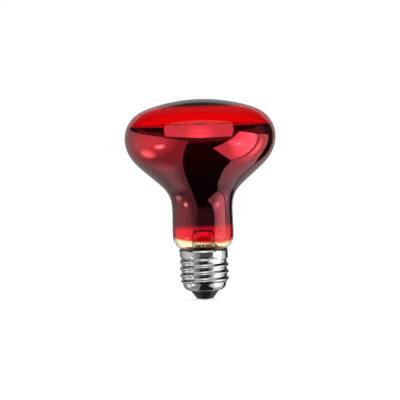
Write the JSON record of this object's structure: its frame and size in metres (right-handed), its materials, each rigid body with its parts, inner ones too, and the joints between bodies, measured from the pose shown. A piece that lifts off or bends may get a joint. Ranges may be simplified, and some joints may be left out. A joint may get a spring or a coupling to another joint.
{
  "type": "infrared heat lamp bulb",
  "caption": "Infrared reflector heat lamp: red blown glass bulb with an inner mirror, ring filament on a glass stem, and an Edison screw cap.",
  "frame": {"origin": "lowest point of the solder tip on the centre contact, on the lamp's axis", "axes": "+Z along the lamp's axis from the screw cap to the crown of the bulb, -Y towards the viewer of the picture, +X to that viewer's right"},
  "size_m": [0.08, 0.08, 0.1063],
  "materials": {
    "red_glass": "gloss red glass, clear at the foot of the neck",
    "mirror_film": "bright evaporated aluminium",
    "clear_glass": "clear fire-polished glass",
    "support_wire": "drawn molybdenum wire",
    "tungsten": "coiled tungsten wire",
    "nickel_wire": "drawn nickel wire",
    "seal_wire": "copper-clad wire in glass",
    "nickel_shell": "bright nickel-plated rolled sheet",
    "basing_cement": "matt brown-black lamp cement",
    "solder": "dull soft solder",
    "black_glass": "gloss black pressed glass",
    "contact_brass": "bright stamped brass"
  },
  "bodies": {
    "root": {"glass_bulb": "red_glass", "reflector_coating": "mirror_film", "glass_stem": "clear_glass", "exhaust_tube": "clear_glass", "support_rod": "clear_glass", "filament_support_1": "support_wire", "filament_support_2": "support_wire", "filament_support_3": "support_wire", "filament": "tungsten", "inner_lead_left": "nickel_wire", "inner_lead_right": "nickel_wire", "seal_wire_left": "seal_wire", "seal_wire_right": "seal_wire", "shell_lead": "nickel_wire", "contact_lead": "nickel_wire", "screw_shell": "nickel_shell", "basing_cement": "basing_cement", "rim_solder": "solder", "cap_insulator": "black_glass", "contact_eyelet": "contact_brass", "tip_solder": "solder"}
  },
  "joints": []
}
